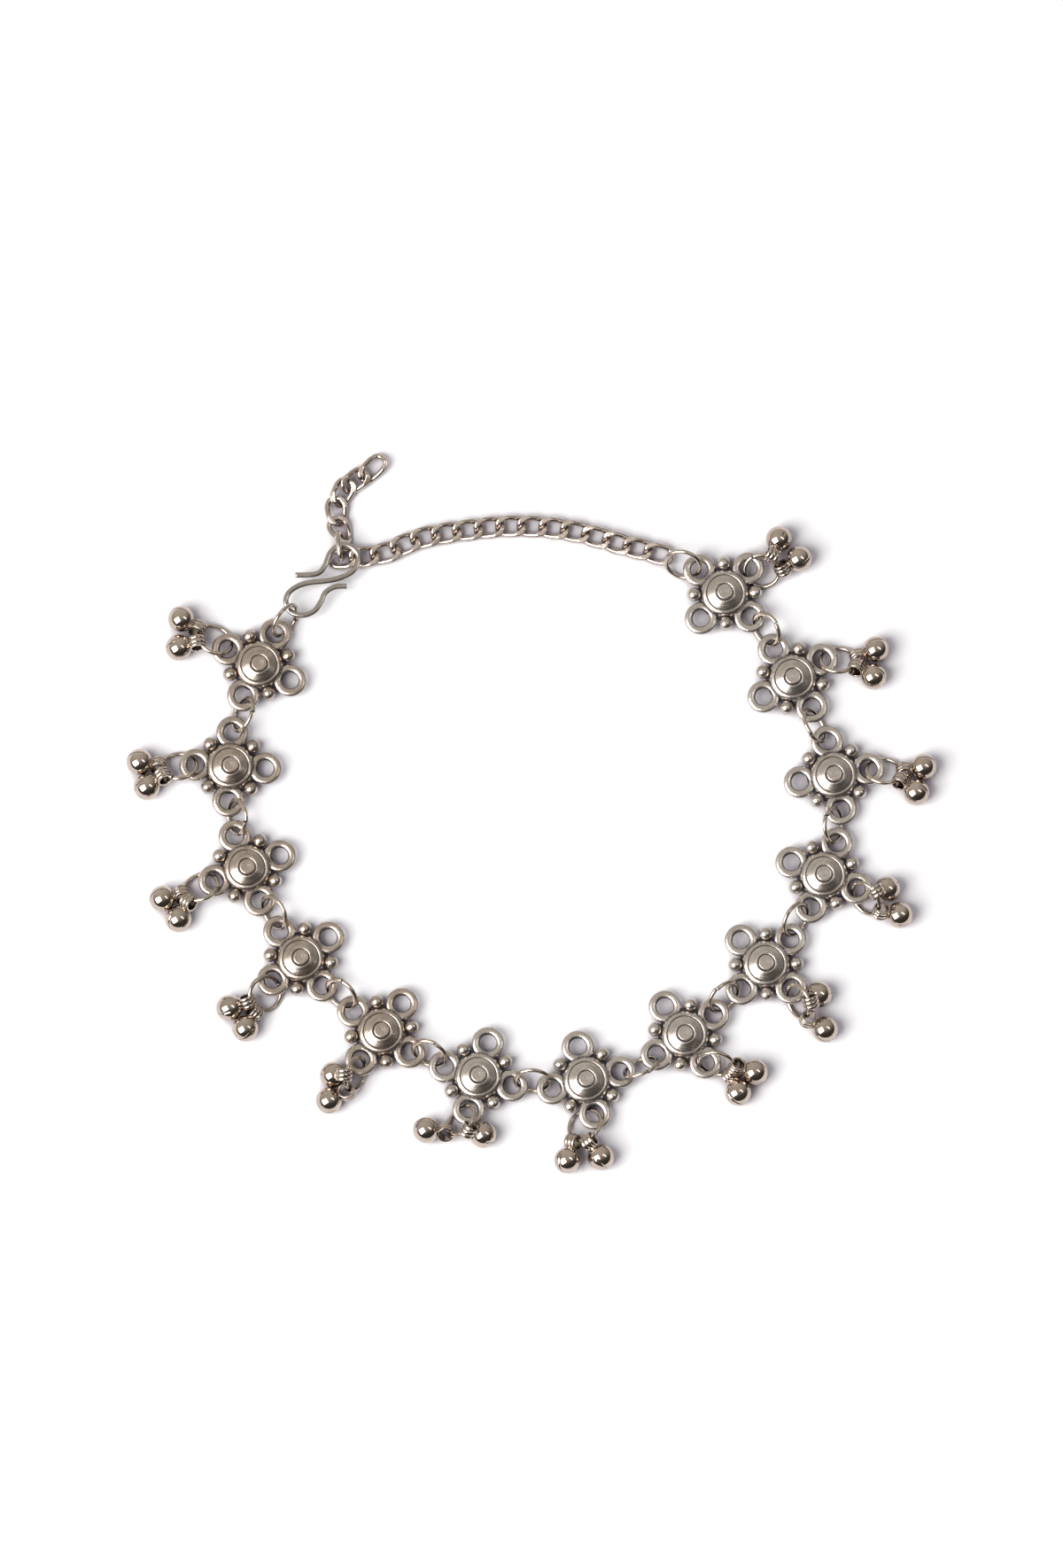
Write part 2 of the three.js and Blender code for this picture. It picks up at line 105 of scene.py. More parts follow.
# Each pair of bells: the ring's swing, slip, tilt and cut, then seat and aim of each bell
DROPS = [
    {"swing": -9, "slip": 0.15, "tilt": 34, "cut": 150, "seats": ((5, -5), (55, 38))},
    {"swing": 8, "slip": 0.1, "tilt": 36, "cut": 64, "seats": ((-7, -7), (35, 35))},
    {"swing": 6, "slip": 0.25, "tilt": 36, "cut": 140, "seats": ((-8, -7), (28, 38))},
    {"swing": 22, "slip": 0.1, "tilt": -34, "cut": 160, "seats": ((-38, -20), (-1, 24))},
    {"swing": 16, "slip": 0.05, "tilt": -62, "cut": 120, "seats": ((-69, -68), (4, -30))},
    {"swing": -16, "slip": 0.4, "tilt": 51, "cut": 170, "seats": ((-23, -80), (67, 97))},
    {"swing": -53, "slip": 0.3, "tilt": 34, "cut": 84, "seats": ((2, -32), (52, 25))},
    {"swing": 43, "slip": 0.9, "tilt": 62, "cut": 150, "seats": ((4, 41), (-33, -14))},
    {"swing": -19, "slip": 0.15, "tilt": 60, "cut": 200, "seats": ((62, 92), (-7, 13))},
    {"swing": -28, "slip": 0.35, "tilt": 57, "cut": 160, "seats": ((80, 49), (7, 13))},
    {"swing": -19, "slip": 0.2, "tilt": -37, "cut": 120, "seats": ((9, 0), (-30, -45))},
    {"swing": -35, "slip": 0.15, "tilt": -37, "cut": 150, "seats": ((9, -9), (-27, -59))},
    {"swing": -56, "slip": 0.45, "tilt": 34, "cut": 130, "seats": ((67, 21), (12, -16))},
]

# The rings at the strand's two ends: the way from the motif's eye, the slip, and how each leans
HOOK_RING = {"toward": 51.6, "slip": 0.06, "heading": 53.5, "tilt": 68.5}
CHAIN_RING = {"toward": 162.6, "slip": 0.02, "heading": -14.4, "tilt": 54.5}

# The S hook as shares of its span and rise, from a corner near the middle of its ring
HOOK_SEAT = np.array([0.05, 0.87])
HOOK_SIZE = np.array([10.8, 10.5])
HOOK_SHARES = [(0.13, 0.57), (0.42, 0.59), (0.53, 0.7), (0.6, 0.88), (0.71, 0.985), (0.86, 0.99),
               (0.98, 0.88), (0.97, 0.72), (0.87, 0.59), (0.63, 0.5), (0.27, 0.45), (0.07, 0.35),
               (0.0, 0.2), (0.07, 0.05), (0.24, 0.0), (0.39, 0.06), (0.48, 0.19), (0.54, 0.32),
               (0.67, 0.4), (0.83, 0.41)]
HOOKED_SHARE = np.array([0.743, 0.99])
RUN_SHARE = np.array([0.843, 0.819])

# The chain's run: along and to the left, as shares of the way from the hook to the chain ring
RUN = [(-0.016, 0.002), (0.101, 0.018), (0.224, 0.07), (0.414, 0.104), (0.548, 0.111), (0.676, 0.098),
       (0.802, 0.066), (0.927, 0.035)]
RUN_LINKS = 16

# The free links of the tail: steps in half lengths of a link from the one that the hook holds
HOOKED_LINK = {"step": (0, 0), "heading": 92, "tilt": 78, "length": 1.95, "width": 1.3, "twist": -0.1}
TAIL_LINKS = [
    {"step": (0, 1.23), "heading": 118, "tilt": 24, "length": 1.95, "width": 1.34, "twist": -0.42},
    {"step": (-0.32, 2.74), "heading": 94, "tilt": 16, "length": 1.95, "width": 1.32, "twist": -0.42},
    {"step": (0.14, 4.2), "heading": 62, "tilt": 16, "length": 1.95, "width": 1.3, "twist": -0.42},
    {"step": (1.09, 5.1), "heading": 37, "tilt": 18, "length": 1.95, "width": 1.25, "twist": -0.42},
    {"step": (2.4, 6.03), "heading": 45, "tilt": 12, "length": 2.2, "width": 1.2, "twist": -0.36},
]


def flat(degrees):
    a = math.radians(degrees)
    return np.array([math.cos(a), math.sin(a), 0.0])


def unit(v):
    return v / np.linalg.norm(v)


class Shell:
    """Collects grids of points as one mesh. Each point has a patina-and-shade value, from -1 (cut bright) through
    0 (rubbed) to 1 (black: patina in hollows, painted shade on undersides, flanks and holes), and a grain: a
    place in stretched space, so that noise runs as tool marks do."""

    def __init__(self):
        self.points = []
        self.faces = []
        self.patina_and_shade_parts = []
        self.grains = []

    def grid(self, rows, patina_and_shade, grain, wrap_rows=False, cap_ends=False):
        rows = np.asarray(rows)
        count, width = rows.shape[:2]
        start = sum(len(p) for p in self.points)
        self.points.append(rows.reshape(-1, 3))
        self.patina_and_shade_parts.append(np.clip(np.broadcast_to(patina_and_shade, (count, width)).reshape(-1), -1, 1))
        self.grains.append((grain + start * 0.37).reshape(-1, 3))
        i = np.arange(count if wrap_rows else count - 1)
        ii, jj = np.meshgrid(i, np.arange(width), indexing="ij")
        a = start + ii * width + jj
        b = start + ii * width + (jj + 1) % width
        c = start + ((ii + 1) % count) * width + (jj + 1) % width
        d = start + ((ii + 1) % count) * width + jj
        self.faces += np.stack([a, b, c, d], -1).reshape(-1, 4).tolist()
        if cap_ends:
            self.faces.append([start + k for k in range(width)][::-1])
            self.faces.append([start + (count - 1) * width + k for k in range(width)])

    def build(self, name, material, slot, nodes):
        mesh = bpy.data.meshes.new(name)
        mesh.from_pydata((np.concatenate(self.points) * MM).tolist(), [], self.faces)
        mesh.validate()
        layer = mesh.attributes.new("patina_and_shade", "FLOAT", "POINT")
        layer.data.foreach_set("value", np.concatenate(self.patina_and_shade_parts).astype(np.float32))
        layer = mesh.attributes.new("grain", "FLOAT_VECTOR", "POINT")
        layer.data.foreach_set("vector", np.concatenate(self.grains).astype(np.float32).reshape(-1))
        mesh.polygons.foreach_set("use_smooth", [True] * len(mesh.polygons))
        piece = bpy.data.objects.new(name, mesh)
        bpy.context.scene.collection.objects.link(piece)
        mesh.materials.append(material)
        mesh.update()
        turn_outwards(mesh)
        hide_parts(*nodes)
        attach(piece, "root")
        return piece


def turn_outwards(mesh):
    import bmesh
    work = bmesh.new()
    work.from_mesh(mesh)
    bmesh.ops.recalc_face_normals(work, faces=work.faces)
    work.to_mesh(mesh)
    work.free()


def lathe(profile, axes, origin, steps):
    """Rows of points of a profile of (radius, height) turned about axes[2], and their turned grain."""
    profile = np.asarray(profile, float)
    a = np.linspace(0, 2 * np.pi, steps, endpoint=False)
    ring = np.cos(a)[:, None] * axes[0] + np.sin(a)[:, None] * axes[1]
    rows = origin + profile[:, 0][:, None, None] * ring[None] + profile[:, 1][:, None, None] * axes[2]
    reach = np.concatenate([[0], np.cumsum(np.linalg.norm(np.diff(profile, axis=0), axis=1))])
    grain = np.zeros(rows.shape)
    grain[..., 0] = reach[:, None] * 4
    grain[..., 1] = np.cos(a)[None, :] * 0.6
    grain[..., 2] = np.sin(a)[None, :] * 0.6
    return rows, grain


def smooth_profile(points, per_span):
    """A rounded path through the points of a profile, for soft cast edges."""
    pts = np.asarray(points, float)
    padded = np.vstack([pts[:1], pts, pts[-1:]])
    out = []
    for i in range(len(pts) - 1):
        p0, p1, p2, p3 = padded[i:i + 4]
        for t in np.linspace(0, 1, per_span, endpoint=False):
            out.append(0.5 * (2 * p1 + (p2 - p0) * t + (2 * p0 - 5 * p1 + 4 * p2 - p3) * t ** 2
                              + (3 * p1 - p0 - 3 * p2 + p3) * t ** 3))
    out.append(pts[-1])
    return np.array(out)


def tube(path, across, tall, section):
    """A section of (across, tall) offsets carried along a path, and its drawn grain."""
    rows = (path[:, None, :] + section[None, :, 0:1] * across[:, None, :]
            + section[None, :, 1:2] * tall[:, None, :])
    along = np.linspace(0, 2 * np.pi, len(path))
    grain = np.zeros(rows.shape)
    grain[..., 0] = section[None, :, 0] * 6 + np.cos(along)[:, None] * 0.8
    grain[..., 1] = section[None, :, 1] * 6 + np.sin(along)[:, None] * 0.8
    return rows, grain


def round_section(half_wide, half_tall, sides, power=2.0):
    a = np.linspace(0, 2 * np.pi, sides, endpoint=False)
    c, s = np.cos(a), np.sin(a)
    return np.stack([half_wide * np.sign(c) * np.abs(c) ** (2 / power),
                     half_tall * np.sign(s) * np.abs(s) ** (2 / power)], -1)


def leaning(degrees, tilt):
    long = flat(degrees)
    side = flat(degrees + 90) * math.cos(math.radians(tilt)) + UP * math.sin(math.radians(tilt))
    return long, side, np.cross(long, side)


def resting(radius, wire, tilt):
    return radius * math.sin(math.radians(abs(tilt))) + wire + GAP


def ring_at(x, y, heading, tilt, radius=RING_RADIUS):
    centre = np.array([x, y, resting(radius, RING_WIRE, tilt)])
    return {"centre": centre, "axes": leaning(heading, tilt), "radius": radius}


def ring_point(ring, degrees):
    a = math.radians(degrees)
    long, side, _ = ring["axes"]
    return ring["centre"] + RING_RADIUS * (math.cos(a) * long + math.sin(a) * side)


def painted_wire_shade(rows, path, radius):
    """Painted shade on the steep sides and the underside of a wire."""
    upward = (rows[..., 2] - path[:, None, 2]) / radius
    return np.clip((0.42 - upward) / 0.5, 0, 1) * 0.5


def jump_ring(shell, ring, cut):
    """Round wire bent into a ring, its two ends butted at the cut angle."""
    long, side, normal = ring["axes"]
    open_half = math.degrees(0.05 / ring["radius"])
    a = np.radians(np.linspace(cut + open_half, cut + 360 - open_half, 97))
    radial = np.cos(a)[:, None] * long + np.sin(a)[:, None] * side
    spring = np.linspace(-0.5, 0.5, 97) ** 3 * 4 * RING_SPRING
    path = ring["centre"] + ring["radius"] * radial + spring[:, None] * normal
    section = round_section(RING_DRESS, RING_DRESS, 14)
    rows, grain = tube(path, radial, np.broadcast_to(normal, radial.shape), section)
    ends = np.minimum(np.arange(97), 96 - np.arange(97)) * ring["radius"] * 2 * np.pi / 96
    # Dark at the two butted ends; painted shade along the wire's flanks and underside.
    patina_and_shade = np.maximum(np.exp(-ends / 0.12)[:, None] * 0.8, painted_wire_shade(rows, path, RING_DRESS))
    shell.grid(rows, patina_and_shade, grain, cap_ends=True)


# Cast flower motif

DOME_PROFILE = [(0.0, 3.24), (0.5, 3.27), (0.9, 3.28), (1.04, 3.25), (1.12, 3.14), (1.18, 3.0),
                (1.24, 2.95), (1.31, 3.0), (1.4, 3.04), (1.52, 3.01), (1.7, 2.92), (2.0, 2.76),
                (2.38, 2.55), (2.52, 2.47), (2.58, 2.42), (2.63, 2.34), (2.69, 2.34), (2.76, 2.385),
                (2.84, 2.39), (2.95, 2.35), (3.12, 2.26), (3.32, 2.08), (3.47, 1.84), (3.55, 1.55), (3.57, 1.2),
                (3.56, 0.5), (3.5, 0.1), (3.36, 0.0), (0.0, 0.0)]
DOME_GROOVES = [(1.21, 0.08, 0.95), (2.65, 0.065, 0.9)]


def dome_patina_and_shade(radius, height):
    # The grooves on top are darkened as patina; the steep lower side, below a height of 1.8, is darkened as
    # patina and painted shade where the eyes and web meet it.
    patina_and_shade = np.zeros_like(radius)
    for middle, width, depth in DOME_GROOVES:
        patina_and_shade = np.maximum(patina_and_shade, depth * np.exp(-((radius - middle) / width) ** 2) * (height > 1.9))
    return np.maximum(patina_and_shade, np.clip((1.8 - height) / 0.5, 0, 1) * 0.9)


def near_age(points, centre, others):
    """Patina that stays where another part of the casting stands close."""
    patina_and_shade = np.zeros(points.shape[:-1])
    flat_reach = np.hypot(points[..., 0] - centre[0], points[..., 1] - centre[1])
    if "dome" in others:
        patina_and_shade = np.maximum(patina_and_shade, np.exp(-np.abs(flat_reach - DOME_RADIUS) / 0.2) * (points[..., 2] < 2.1))
    for pearl in others.get("pearls", []):
        away = np.linalg.norm(points - pearl, axis=-1) - PEARL_RADIUS
        patina_and_shade = np.maximum(patina_and_shade, np.exp(-np.abs(away) / 0.2))
    for eye in others.get("eyes", []):
        away = np.abs(np.hypot(points[..., 0] - eye[0], points[..., 1] - eye[1]) - EYE_MIDDLE) - EYE_HALF_BAND
        patina_and_shade = np.maximum(patina_and_shade, np.exp(-np.maximum(away, 0) / 0.18) * (points[..., 2] < EYE_HEIGHT + 0.3))
    return patina_and_shade


def motif_shell(centre, turn):
    shell = Shell()
    world = (np.array([1.0, 0, 0]), np.array([0, 1.0, 0]), UP)
    profile = smooth_profile(DOME_PROFILE, 3)
    rows, grain = lathe(profile, world, centre, 80)
    shell.grid(rows, dome_patina_and_shade(profile[:, 0], profile[:, 1])[:, None], grain)
    eyes = [centre + EYE_DRESS_REACH * flat(turn + 90 * k) for k in range(4)]
    pearls = [centre + PEARL_REACH * flat(turn + 45 + 90 * k) + PEARL_HEIGHT * UP for k in range(4)]
    web = smooth_profile([(3.2, 1.3), (3.2, 1.46), (3.75, 1.48), (3.94, 1.42), (3.98, 1.3), (3.9, 1.2),
                          (3.2, 1.2)], 2)
    rows, grain = lathe(web, world, centre, 60)
    # The web round the dome's foot is near-black: patina and painted shade between the eyes and pearls.
    shell.grid(rows, 0.95, grain)
    for eye in eyes:
        a = np.linspace(0, 2 * np.pi, 56, endpoint=False)
        radial = np.stack([np.cos(a), np.sin(a), 0 * a], -1)
        path = eye + EYE_HEIGHT * UP + EYE_MIDDLE * radial
        section = round_section(EYE_HALF_BAND, EYE_HALF_HEIGHT, 22, 2.3)
        rows, grain = tube(path, radial, np.broadcast_to(UP, radial.shape), section)
        patina_and_shade = near_age(rows, centre, {"dome": True, "pearls": pearls})
        # The band's steep inner wall round the hole is darkened, and its underside carries painted shade.
        inner = np.clip(-section[:, 0] / EYE_HALF_BAND - 0.72, 0, 0.2) / 0.2 * 0.95
        low = np.clip(0.3 - section[:, 1] / EYE_HALF_HEIGHT, 0, 0.5) / 0.5 * 0.75
        patina_and_shade = np.maximum(patina_and_shade, np.maximum(inner, low)[None, :])
        shell.grid(rows, patina_and_shade, grain, wrap_rows=True)
    for pearl in pearls:
        b = np.linspace(-np.pi / 2, np.pi / 2, 19)
        ball = np.stack([PEARL_RADIUS * np.cos(b), PEARL_RADIUS * np.sin(b)], -1)
        rows, grain = lathe(ball, world, pearl, 28)
        patina_and_shade = near_age(rows, centre, {"dome": True})
        # Painted shade: each pearl darkens towards its underside.
        patina_and_shade = np.maximum(patina_and_shade, np.clip((PEARL_HEIGHT + 0.3 - rows[..., 2]) / 0.45, 0, 1) * 0.8)
        shell.grid(rows, patina_and_shade, grain)
    return shell


# Bells

BAIL_PROFILE = [(0.88, -0.8), (0.93, -0.86), (1.12, -0.87), (1.2, -0.8), (1.24, -0.62), (1.22, -0.46),
                (1.14, -0.35), (1.22, -0.24), (1.27, -0.1), (1.27, 0.1), (1.22, 0.24), (1.14, 0.35),
                (1.22, 0.46), (1.24, 0.62), (1.2, 0.8), (1.12, 0.87), (0.93, 0.86), (0.88, 0.8),
                (0.86, 0.0), (0.88, -0.8)]
NECK_PROFILE = [(0.55, -2.0), (0.8, -1.95), (0.92, -1.84), (0.84, -1.74), (0.96, -1.66), (1.05, -1.5)]


def bell_place(ring, seat, aim):
    wire = ring_point(ring, seat)
    a = math.radians(seat)
    long, side, _ = ring["axes"]
    tangent = -math.sin(a) * long + math.cos(a) * side
    arm = BAIL_PLAY + BAIL_TO_BALL
    drop = BALL_RADIUS + GAP - wire[2]
    ball = wire + flat(aim) * math.sqrt(arm * arm - drop * drop)
    ball[2] = BALL_RADIUS + GAP
    pointing = unit(ball - wire)
    axle = unit(tangent - pointing * (tangent @ pointing))
    return {"ball": ball, "bail": wire + BAIL_PLAY * pointing, "pointing": pointing, "axle": axle}


def bell_shell(place):
    shell = Shell()
    pointing, axle = place["pointing"], place["axle"]
    third = np.cross(axle, pointing)
    profile = smooth_profile(BAIL_PROFILE, 2)
    groove = np.exp(-((np.abs(profile[:, 1]) - 0.35) / 0.07) ** 2) * (profile[:, 0] > 1.05)
    # Painted shade inside the bail's hole; patina in its grooves.
    painted_hole_shade = (profile[:, 0] < 0.9) * 0.5
    rows, grain = lathe(profile, (third, pointing, axle), place["bail"], 44)
    shell.grid(rows, np.maximum(groove * 0.8, painted_hole_shade)[:, None], grain)
    # The ball turns about the line to its bail; the slit crosses its far end
    along = (axle, third, pointing)
    b = np.linspace(-np.pi / 2, np.pi / 2, 49)
    ball = np.stack([BALL_DRESS * np.cos(b), BALL_DRESS * np.sin(b)], -1)
    rows, grain = lathe(ball, along, np.zeros(3), 80)
    far = np.clip((rows @ pointing / BALL_DRESS + 0.2) / 0.1, 0, 1)
    slit = np.exp(-((rows @ axle) / 0.085) ** 2) * far
    rows = rows * (1 - 0.07 * slit)[..., None] + place["ball"]
    root = np.exp(-(1.0 + rows_dot(rows, place["ball"], pointing) / BALL_DRESS) / 0.06)
    # Painted shade on the ball's lower side; the slit and the root are darkened too.
    painted_ball_shade = np.clip((0.42 - (rows[..., 2] - place["ball"][2]) / BALL_DRESS) / 0.35, 0, 1) * 0.42
    shell.grid(rows, np.maximum(np.maximum(slit, root) * 0.8, painted_ball_shade), grain)
    rows, grain = lathe(smooth_profile(NECK_PROFILE, 3), along, place["ball"], 32)
    shell.grid(rows, 0.35, grain)
    return shell


def rows_dot(rows, origin, direction):
    return (rows - origin) @ direction


# Curb chain

def squared(part):
    return np.sign(part) * np.abs(part) ** (2 / LINK_SQUARE)


def chain_link(shell, centre, link):
    """One oval link whose ends rise and dip so that it crosses its neighbours over and under."""
    long, side, normal = leaning(link["heading"], link["tilt"])
    t = np.linspace(0.01, 2 * np.pi + 0.01, 96, endpoint=False)

    def at(t):
        u, v = squared(np.cos(t))[:, None], squared(np.sin(t))[:, None]
        return u * link["length"] * long + v * link["width"] * side + 2 * u * v * link["twist"] * normal

    path = centre + at(t)
    along = at(t + 0.01) - at(t - 0.01)
    along /= np.linalg.norm(along, axis=1, keepdims=True)
    across = np.cross(along, normal)
    across /= np.linalg.norm(across, axis=1, keepdims=True)
    tall = np.cross(across, along)
    section = round_section(CHAIN_DRESS, CHAIN_DRESS, 14)
    rows, grain = tube(path, across, tall, section)
    # Each end darkens towards its underside where the neighbours pass; painted shade along the flanks and
    # underside.
    ends = np.clip((np.abs(np.cos(t)) - 0.72) / 0.28, 0, 1)
    patina_and_shade = ends[:, None] * np.clip(0.35 - section[:, 1] / CHAIN_DRESS * 0.5, 0, 1)[None, :]
    patina_and_shade = np.maximum(patina_and_shade, painted_wire_shade(rows, path, CHAIN_DRESS))
    # Both faces of the chain are ground flat, which leaves a facet where each end bend stands proud
    proud = (rows - centre) @ normal
    rows = rows - (proud - np.clip(proud, -LINK_GROUND, LINK_GROUND))[..., None] * normal
    patina_and_shade = np.where(proud > LINK_GROUND, -1, patina_and_shade)
    shell.grid(rows, patina_and_shade, grain, wrap_rows=True)


def spline(points, count):
    """Evenly spaced points on a smooth curve through the given ones."""
    dense = smooth_profile(points, 40)
    steps = np.linalg.norm(np.diff(dense, axis=0), axis=1)
    reach = np.concatenate([[0], np.cumsum(steps)])
    want = np.linspace(0, reach[-1], count)
    return np.stack([np.interp(want, reach, dense[:, k]) for k in range(dense.shape[1])], -1)


def run_chain_shell(start, end):
    """The chain's run: links laid one after another from the hook to the chain ring."""
    shell = Shell()
    way = end - start
    left = np.array([-way[1], way[0]])
    places = spline([start + along * way + aside * left for along, aside in RUN], RUN_LINKS)
    rest = LINK_WIDTH * math.sin(math.radians(CHAIN_TILT)) + CHAIN_WIRE + 0.38
    ahead = np.gradient(places, axis=0)
    rng = np.random.default_rng(5)
    for place, (x, y) in zip(places, ahead):
        link = {"heading": math.degrees(math.atan2(y, x)) + rng.uniform(-3, 3),
                "tilt": CHAIN_TILT + rng.uniform(-3, 3),
                "length": LINK_LENGTH, "width": LINK_WIDTH, "twist": LINK_TWIST}
        chain_link(shell, np.array([*place, rest]), link)
    return shell


def tail_shell(start, links, lift):
    shell = Shell()
    for link in links:
        rest = link["width"] * math.sin(math.radians(link["tilt"])) + CHAIN_WIRE + lift
        chain_link(shell, np.array([*(start + np.array(link["step"]) * LINK_LENGTH), rest]), link)
    return shell


# S hook

def hook_shell(corner):
    shell = Shell()
    path = spline([corner + np.array(share) * HOOK_SIZE for share in HOOK_SHARES], 160)
    path = np.column_stack([path, np.full(len(path), HOOK_HEIGHT)])
    along = np.gradient(path, axis=0)
    along /= np.linalg.norm(along, axis=1, keepdims=True)
    across = np.cross(along, UP)
    section = round_section(HOOK_WIDTH / 2, HOOK_THICKNESS / 2, 24, 2.2)
    rows, grain = tube(path, across, np.broadcast_to(UP, across.shape), section)
    # Painted shade on the lower half of the hook's wire.
    low = np.clip(0.2 - section[:, 1] / HOOK_THICKNESS * 2, 0, 1) * 0.75
    shell.grid(rows, low[None, :], grain, cap_ends=True)
    return shell


# Materials

class Nodes:
    """Small helper to add and join shader nodes."""

    def __init__(self, tree):
        self.tree = tree
        tree.nodes.clear()

    def add(self, kind, **values):
        node = self.tree.nodes.new(kind)
        for key, value in values.items():
            setattr(node, key, value)
        return node

    def join(self, out, into):
        self.tree.links.new(out, into)

    def noise(self, vector, scale, detail, roughness=0.5):
        node = self.add("ShaderNodeTexNoise")
        node.inputs["Scale"].default_value = scale
        node.inputs["Detail"].default_value = detail
        node.inputs["Roughness"].default_value = roughness
        self.join(vector, node.inputs["Vector"])
        return node.outputs["Fac"]

    def ramp(self, value, stops):
        node = self.add("ShaderNodeValToRGB")
        node.color_ramp.elements[0].position = stops[0][0]
        node.color_ramp.elements[0].color = (*stops[0][1], 1)
        node.color_ramp.elements[1].position = stops[-1][0]
        node.color_ramp.elements[1].color = (*stops[-1][1], 1)
        for place, colour in stops[1:-1]:
            node.color_ramp.elements.new(place).color = (*colour, 1)
        self.join(value, node.inputs["Fac"])
        return node.outputs["Color"]

    def spread(self, value, low, high, to_low, to_high):
        node = self.add("ShaderNodeMapRange")
        for key, number in (("From Min", low), ("From Max", high), ("To Min", to_low), ("To Max", to_high)):
            node.inputs[key].default_value = number
        self.join(value, node.inputs["Value"])
        return node.outputs["Result"]

    def maths(self, how, a, b):
        node = self.add("ShaderNodeMath", operation=how)
        for socket, value in zip(node.inputs, (a, b)):
            if isinstance(value, (int, float)):
                socket.default_value = value
            else:
                self.join(value, socket)
        return node.outputs["Value"]

    def mix(self, factor, a, b):
        node = self.add("ShaderNodeMix", data_type="RGBA")
        self.join(factor, node.inputs["Factor"])
        for socket, value in ((node.inputs[6], a), (node.inputs[7], b)):
            if isinstance(value, tuple):
                socket.default_value = (*value, 1)
            else:
                self.join(value, socket)
        return node.outputs[2]


def metal(name, bright, dull, black, rough, pits, marks, specks):
    """Worn silver-tone metal: bright where rubbed, dull in patches, black as patina in its crevices and as
    painted shade on undersides, flanks and holes.
    """
    material = bpy.data.materials.new(name)
    material.use_nodes = True
    n = Nodes(material.node_tree)
    shader = n.add("ShaderNodeBsdfPrincipled")
    shader.inputs["Metallic"].default_value = 1.0
    out = n.add("ShaderNodeOutputMaterial")
    n.join(shader.outputs["BSDF"], out.inputs["Surface"])
    place = n.add("ShaderNodeTexCoord").outputs["Object"]
    patches = n.noise(place, 700, 3)
    fine = n.noise(place, 2600, 4, 0.6)
    lines = n.noise(n.add("ShaderNodeAttribute", attribute_name="grain").outputs["Vector"], 1.0, 3, 0.6)
    patina_and_shade = n.add("ShaderNodeAttribute", attribute_name="patina_and_shade").outputs["Fac"]
    # The patina-and-shade value, with fine noise and specks, blackens the metal: patina in crevices and painted
    # shade.
    mottled_patina_and_shade = n.maths("ADD", patina_and_shade, n.spread(fine, 0.3, 0.7, -0.12, 0.12))
    speck = n.spread(n.noise(place, 4200, 2), 0.6, 0.72, 0.0, specks)
    patina_shade_and_specks = n.maths("MAXIMUM", n.spread(mottled_patina_and_shade, 0.25, 0.85, 0.0, 1.0), speck)
    mottle = n.maths("ADD", n.spread(patches, 0.35, 0.65, 0.0, 0.75), n.spread(lines, 0.35, 0.65, -0.2, 0.45))
    base = n.mix(mottle, bright, dull)
    base = n.mix(n.spread(patina_and_shade, -1, 0, 1, 0), base, tuple(1.5 * part for part in bright))
    n.join(n.mix(patina_shade_and_specks, base, black), shader.inputs["Base Color"])
    gloss = n.maths("ADD", n.spread(patches, 0.3, 0.7, rough - 0.04, rough + 0.05),
                    n.maths("MULTIPLY", patina_shade_and_specks, 0.35))
    n.join(gloss, shader.inputs["Roughness"])
    height = n.maths("ADD", n.maths("MULTIPLY", fine, pits), n.maths("MULTIPLY", lines, marks))
    bump = n.add("ShaderNodeBump")
    bump.inputs["Strength"].default_value = 1.0
    bump.inputs["Distance"].default_value = 1.0
    n.join(height, bump.inputs["Height"])
    n.join(bump.outputs["Normal"], shader.inputs["Normal"])
    return material


def table_material():
    material = bpy.data.materials.new("white_table")
    material.use_nodes = True
    n = Nodes(material.node_tree)
    shader = n.add("ShaderNodeBsdfPrincipled")
    out = n.add("ShaderNodeOutputMaterial")
    n.join(shader.outputs["BSDF"], out.inputs["Surface"])
    # Painted shade: the table's colour darkens where the pieces stand close above it, as contact shadow and under
    # the holes.
    hidden = n.add("ShaderNodeAmbientOcclusion", samples=8)
    hidden.inputs["Distance"].default_value = 0.0035
    shade = n.spread(hidden.outputs["AO"], 0.36, 0.62, 0, 1)
    n.join(n.mix(shade, (0.46, 0.41, 0.437), (0.94, 0.94, 0.94)), shader.inputs["Base Color"])
    shader.inputs["Roughness"].default_value = 0.9
    shader.inputs["Specular IOR Level"].default_value = 0.1
    return material


# Studio

def add_camera(target):
    distance = 3.0
    height_seen = 1770 * 0.13 * MM
    data = bpy.data.cameras.new("camera")
    data.lens = data.sensor_width * distance / height_seen
    data.clip_end = 20
    camera = bpy.data.objects.new("camera", data)
    bpy.context.scene.collection.objects.link(camera)
    elevation = math.radians(80)
    away = Vector((0, -math.cos(elevation), math.sin(elevation)))
    camera.location = Vector(target) + away * distance
    camera.rotation_euler = (-away).to_track_quat("-Z", "Y").to_euler()
    bpy.context.scene.camera = camera


def add_light(name, place, target, size, turn, power, colour):
    data = bpy.data.lights.new(name, "AREA")
    data.shape = "RECTANGLE"
    data.size, data.size_y = size
    data.energy = power
    data.color = colour
    light = bpy.data.objects.new(name, data)
    bpy.context.scene.collection.objects.link(light)
    light.location = place
    facing = (Vector(place) - Vector(target)).to_track_quat("Z", "Y")
    light.rotation_euler = (facing @ Euler((0, 0, math.radians(turn))).to_quaternion()).to_euler()
    light.visible_camera = False


